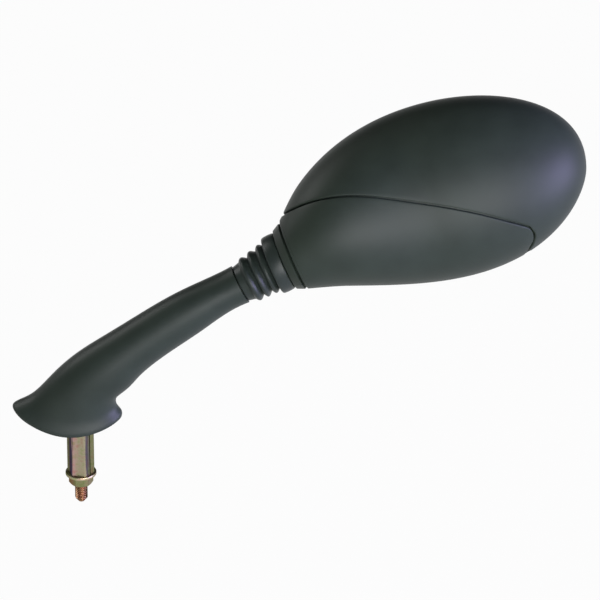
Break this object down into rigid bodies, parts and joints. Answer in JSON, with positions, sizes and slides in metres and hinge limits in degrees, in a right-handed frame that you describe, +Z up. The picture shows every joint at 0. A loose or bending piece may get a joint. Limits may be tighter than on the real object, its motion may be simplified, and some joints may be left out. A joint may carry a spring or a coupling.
{
  "type": "motorcycle rear-view mirror",
  "caption": "Fairing-mounted left-hand rear-view mirror: egg-shaped black head with convex glass, ribbed rubber neck boot, moulded arm with saddle foot and threaded stud.",
  "frame": {"origin": "on the stud's axis at the crown of the saddle under the foot, where the sleeve begins", "axes": "+Z up along the stud from its threaded end, +X towards the head, +Y the way the glass faces"},
  "size_m": [0.3491, 0.1037, 0.2446],
  "materials": {
    "arm_plastic": "fine-grained black moulding",
    "head_plastic": "fine-grained black moulding",
    "boot_rubber": "smooth black rubber",
    "zinc_steel": "yellow passivated zinc plate",
    "plain_steel": "bright zinc plate",
    "nylon": "filled nylon",
    "mirror_glass": "silvered convex glass",
    "adhesive": "butyl adhesive"
  },
  "bodies": {
    "arm": {"arm_cover": "arm_plastic", "stem_rod": "zinc_steel", "pivot_ball": "zinc_steel", "hex_sleeve": "zinc_steel", "seat_washer": "zinc_steel", "lock_nut": "zinc_steel"},
    "ball_seat": {"ball_liner": "nylon"},
    "boot": {"bellows_boot": "boot_rubber"},
    "head": {"head_housing": "head_plastic", "lower_cover": "head_plastic", "mirror_glass": "mirror_glass", "glass_adhesive": "adhesive", "socket_base": "nylon", "clamp_cap": "nylon", "clamp_screws": "plain_steel", "clamp_springs": "plain_steel", "clamp_nuts": "plain_steel", "base_screws": "plain_steel", "cover_screws": "plain_steel"}
  },
  "joints": [
    {"name": "head_turn", "type": "hinge", "parent": "arm", "child": "ball_seat", "pos_m": [0.13836, 0.0189, 0.10132], "axis": [0.8915, 0.1218, 0.4363], "range_deg": [-20, 20], "deforming": ["bellows_boot"]},
    {"name": "head_tilt", "type": "hinge", "parent": "ball_seat", "child": "boot", "pos_m": [0.13836, 0.0189, 0.10132], "axis": [-0.1354, 0.9908, 0], "range_deg": [-12, 12], "deforming": ["bellows_boot"]},
    {"name": "head_swing", "type": "hinge", "parent": "boot", "child": "head", "pos_m": [0.13836, 0.0189, 0.10132], "axis": [-0.4323, -0.0591, 0.8998], "range_deg": [-12, 12], "deforming": ["bellows_boot"]}
  ]
}
